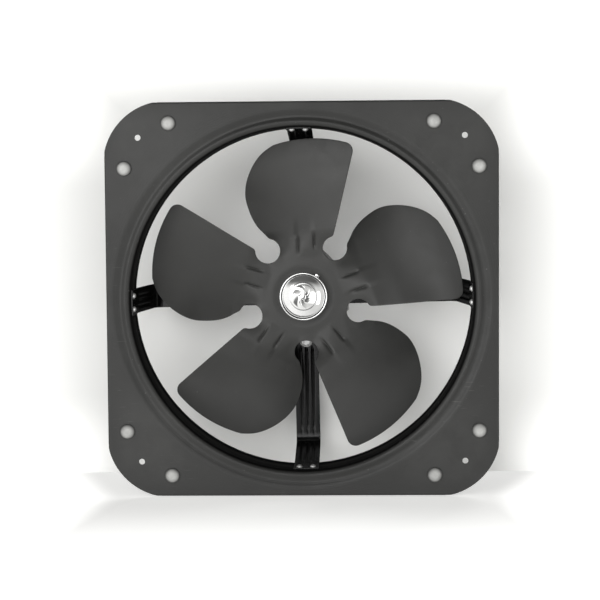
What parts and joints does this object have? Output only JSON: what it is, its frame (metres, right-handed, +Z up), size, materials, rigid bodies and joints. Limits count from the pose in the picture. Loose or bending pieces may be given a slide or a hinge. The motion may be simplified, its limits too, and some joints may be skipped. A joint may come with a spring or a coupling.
{
  "type": "exhaust hood fan",
  "caption": "Ring-mounted exhaust hood fan: square plate with drawn air ring, stamped blades, chrome hub cap and a motor held behind by fluted arms.",
  "frame": {"origin": "centre of the four mounting holes, on the front face of the plate", "axes": "+Y along the fan axis from the inlet side towards the motor, +Z up, +X right as seen from the front"},
  "size_m": [0.369, 0.1379, 0.3714],
  "materials": {
    "plate_paint": "dark grey powder coat, satin, slightly mottled",
    "blade_paint": "dark grey powder coat, satin",
    "arm_enamel": "black gloss enamel",
    "buffer_rubber": "light grey moulded rubber",
    "gland_rubber": "black moulded rubber",
    "zinc_steel": "bright zinc plate",
    "bright_steel": "ground steel",
    "lamination_steel": "stacked electrical steel",
    "cast_aluminium": "die cast, fine grain",
    "chrome": "bright chrome",
    "winding_copper": "enamelled copper wire",
    "brass": "plain brass",
    "capacitor_plastic": "off-white moulded case",
    "lead_pvc": "black PVC sleeve"
  },
  "bodies": {
    "frame": {"arm_bolts": "zinc_steel", "arm_nuts": "zinc_steel", "arm_rivets": "zinc_steel", "arm_spring_washers": "zinc_steel", "bearing_outer_races": "bright_steel", "bearing_preload_washer": "bright_steel", "cable_gland": "gland_rubber", "capacitor": "capacitor_plastic", "capacitor_bracket": "zinc_steel", "capacitor_leads": "lead_pvc", "capacitor_nut": "zinc_steel", "capacitor_screw": "zinc_steel", "earth_screw": "brass", "earth_washer": "brass", "lead_bush": "gland_rubber", "motor_front_shield": "cast_aluminium", "motor_rear_shield": "cast_aluminium", "motor_through_bolts": "zinc_steel", "mounting_plate": "plate_paint", "rubber_buffers": "buffer_rubber", "stator_core": "lamination_steel", "stator_windings": "winding_copper", "support_arm_bottom": "arm_enamel", "support_arm_left": "arm_enamel", "support_arm_right": "arm_enamel", "support_arm_top": "arm_enamel"},
    "rotor": {"fan_blade": "blade_paint", "hub_boss": "cast_aluminium", "hub_set_screw": "zinc_steel", "hub_rivets": "zinc_steel", "shaft_washer": "zinc_steel", "shaft_nut": "zinc_steel", "chrome_cap": "chrome", "motor_shaft": "bright_steel", "rotor_core": "lamination_steel", "rotor_end_rings": "cast_aluminium", "bearing_inner_races": "bright_steel"},
    "ball_cages": {"bearing_balls": "bright_steel", "bearing_cages": "brass"}
  },
  "joints": [
    {"name": "fan_spin", "type": "hinge", "parent": "frame", "child": "rotor", "pos_m": [0, 0.09, 0], "axis": [0, 1, 0], "continuous": true},
    {"name": "cage_spin", "type": "hinge", "parent": "frame", "child": "ball_cages", "pos_m": [0, 0.09, 0], "axis": [0, 1, 0], "continuous": true}
  ],
  "couplings": [
    {"joint": "cage_spin", "follows": "fan_spin", "ratio": 0.38}
  ]
}
